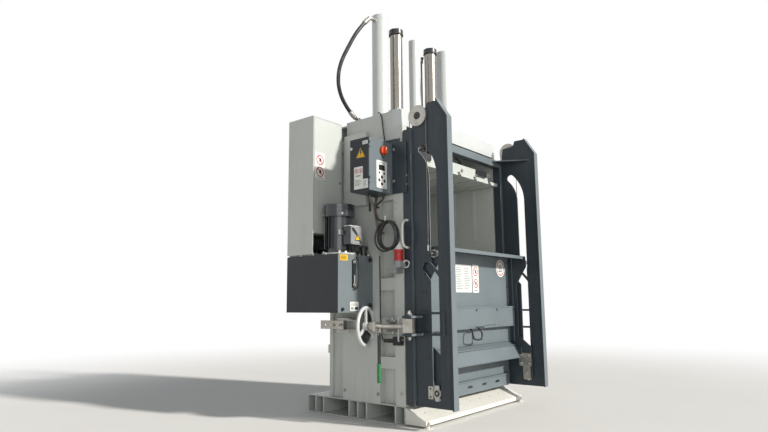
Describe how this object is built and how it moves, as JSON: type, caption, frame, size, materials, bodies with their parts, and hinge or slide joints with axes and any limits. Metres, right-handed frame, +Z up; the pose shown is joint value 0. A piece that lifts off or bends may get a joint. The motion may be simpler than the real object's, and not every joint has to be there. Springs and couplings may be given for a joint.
{
  "type": "recycling baler",
  "caption": "Vertical recycling baler in light grey and dark grey with a sliding loading flap, swing door, press rods on top and side hydraulics.",
  "frame": {"origin": "bottom centre of the base frame, on the floor", "axes": "+Z up, +X to the hinge side of the bale door, -Y towards the loading side"},
  "size_m": [1.715, 1.283, 2.985],
  "materials": {
    "light_paint": "satin",
    "white_paint": "satin",
    "dark_paint": "satin",
    "zinc_steel": "satin",
    "rod_chrome": "gloss",
    "black_paint": "satin",
    "black_rubber": "matte",
    "black_plastic": "matte",
    "grey_plastic": "matte",
    "red_plastic": "satin",
    "orange_plastic": "satin"
  },
  "bodies": {
    "frame": {"base_frame": "light_paint", "front_sill": "light_paint", "chamber_walls": "light_paint", "left_side_frame": "light_paint", "right_side_frame": "light_paint", "head_frame": "light_paint", "header_front": "white_paint", "rod_housings": "white_paint", "press_cylinders": "white_paint", "middle_tube": "white_paint", "hydraulic_hose": "black_rubber", "hose_fittings": "zinc_steel", "oil_tank": "dark_paint", "tank_fittings": "black_paint", "pump_motor": "black_paint", "motor_terminal_box": "dark_paint", "valve_cabinet": "light_paint", "control_box": "dark_paint", "control_bracket": "dark_paint", "supply_cable": "black_rubber", "cable_coil": "black_rubber", "cable_hook": "zinc_steel", "cable_plug": "red_plastic", "plug_socket": "grey_plastic", "safety_switch": "black_plastic", "lock_ears": "zinc_steel", "lock_rear_bracket": "zinc_steel", "hinge_pins": "light_paint"},
    "press_ram": {"guide_rods": "rod_chrome", "rod_caps": "black_paint", "piston_rods": "rod_chrome", "platen": "light_paint"},
    "bale_door": {"left_door_post": "dark_paint", "right_door_post": "dark_paint", "left_web_plate": "dark_paint", "right_web_plate": "dark_paint", "door_panel": "dark_paint", "door_lintel": "dark_paint", "door_gussets": "dark_paint", "door_handle": "dark_paint", "lock_fork": "dark_paint", "flap_ropes": "zinc_steel", "rear_ropes": "zinc_steel"},
    "loading_flap": {"flap_panel": "dark_paint", "flap_arms": "dark_paint", "flap_handle": "black_paint"},
    "upper_roller_pair": {"upper_rollers": "zinc_steel"},
    "lower_roller_pair": {"lower_rollers": "zinc_steel"},
    "left_rope_pulley": {"left_pulley": "zinc_steel"},
    "right_rope_pulley": {"right_pulley": "zinc_steel"},
    "counterweight_pair": {"counterweights": "black_paint"},
    "spindle": {"lock_spindle": "zinc_steel"},
    "collar": {"lock_collar": "zinc_steel"},
    "wheel": {"hand_wheel": "white_paint"},
    "lever": {"lock_lever": "black_plastic"},
    "switch_knob": {"main_switch": "orange_plastic"},
    "box_door": {"control_box_door": "dark_paint"},
    "quarter_turn": {"door_lock": "zinc_steel"},
    "fan": {"motor_fan": "black_plastic"}
  },
  "joints": [
    {"name": "press_stroke", "type": "slide", "parent": "frame", "child": "press_ram", "axis": [0, 0, -1], "range_m": [0, 0.6]},
    {"name": "bale_door_swing", "type": "hinge", "parent": "frame", "child": "bale_door", "pos_m": [0.69, -0.46, 0], "axis": [0, 0, 1], "range_deg": [0, 150]},
    {"name": "flap_slide", "type": "slide", "parent": "bale_door", "child": "loading_flap", "axis": [0, 0, 1], "range_m": [0, 0.5], "deforming": ["flap_ropes"]},
    {"name": "upper_roller_turn", "type": "hinge", "parent": "loading_flap", "child": "upper_roller_pair", "pos_m": [0, -0.69, 1.091], "axis": [1, 0, 0], "range_deg": [-1200, 1200]},
    {"name": "lower_roller_turn", "type": "hinge", "parent": "loading_flap", "child": "lower_roller_pair", "pos_m": [0, -0.69, 0.221], "axis": [1, 0, 0], "range_deg": [-1200, 1200]},
    {"name": "left_pulley_turn", "type": "hinge", "parent": "bale_door", "child": "left_rope_pulley", "pos_m": [-0.6445, -0.582, 2.031], "axis": [1, 0, 0], "range_deg": [-450, 450]},
    {"name": "right_pulley_turn", "type": "hinge", "parent": "bale_door", "child": "right_rope_pulley", "pos_m": [0.6445, -0.582, 2.031], "axis": [1, 0, 0], "range_deg": [-450, 450]},
    {"name": "counterweight_slide", "type": "slide", "parent": "bale_door", "child": "counterweight_pair", "axis": [0, 0, 1], "range_m": [-0.5, 0], "deforming": ["rear_ropes"]},
    {"name": "lock_swing", "type": "hinge", "parent": "bale_door", "child": "spindle", "pos_m": [-0.74, -0.56, 0.6], "axis": [0, 0, 1], "range_deg": [-5, 90]},
    {"name": "hand_wheel_turn", "type": "hinge", "parent": "spindle", "child": "wheel", "pos_m": [-0.82074, -0.26484, 0.63], "axis": [-0.2639, 0.9646, 0], "range_deg": [-360, 1080]},
    {"name": "collar_travel", "type": "slide", "parent": "spindle", "child": "collar", "axis": [-0.2639, 0.9646, 0], "range_m": [-0.008, 0.02]},
    {"name": "lever_swing", "type": "hinge", "parent": "spindle", "child": "lever", "pos_m": [-0.81216, -0.36824, 0.58], "axis": [0.9646, 0.2639, 0], "range_deg": [-30, 30]},
    {"name": "main_switch_turn", "type": "hinge", "parent": "frame", "child": "switch_knob", "pos_m": [-0.77, -0.378, 1.799], "axis": [0, 1, 0], "range_deg": [0, 90]},
    {"name": "box_door_swing", "type": "hinge", "parent": "frame", "child": "box_door", "pos_m": [-0.915, -0.384, 1.69], "axis": [0, 0, 1], "range_deg": [0, 110]},
    {"name": "quarter_turn_turn", "type": "hinge", "parent": "box_door", "child": "quarter_turn", "pos_m": [-0.918, -0.229, 1.805], "axis": [1, 0, 0], "range_deg": [0, 90]},
    {"name": "fan_spin", "type": "hinge", "parent": "frame", "child": "fan", "pos_m": [-0.86, -0.06, 1.4], "axis": [0, 0, 1], "continuous": true}
  ],
  "couplings": [
    {"joint": "upper_roller_turn", "follows": "flap_slide", "rad_per_m": 38.462},
    {"joint": "lower_roller_turn", "follows": "flap_slide", "rad_per_m": 38.462},
    {"joint": "left_pulley_turn", "follows": "flap_slide", "rad_per_m": -14.706},
    {"joint": "right_pulley_turn", "follows": "flap_slide", "rad_per_m": -14.706},
    {"joint": "counterweight_slide", "follows": "flap_slide", "ratio": -1},
    {"joint": "collar_travel", "follows": "hand_wheel_turn", "m_per_rad": 0.00095493}
  ]
}
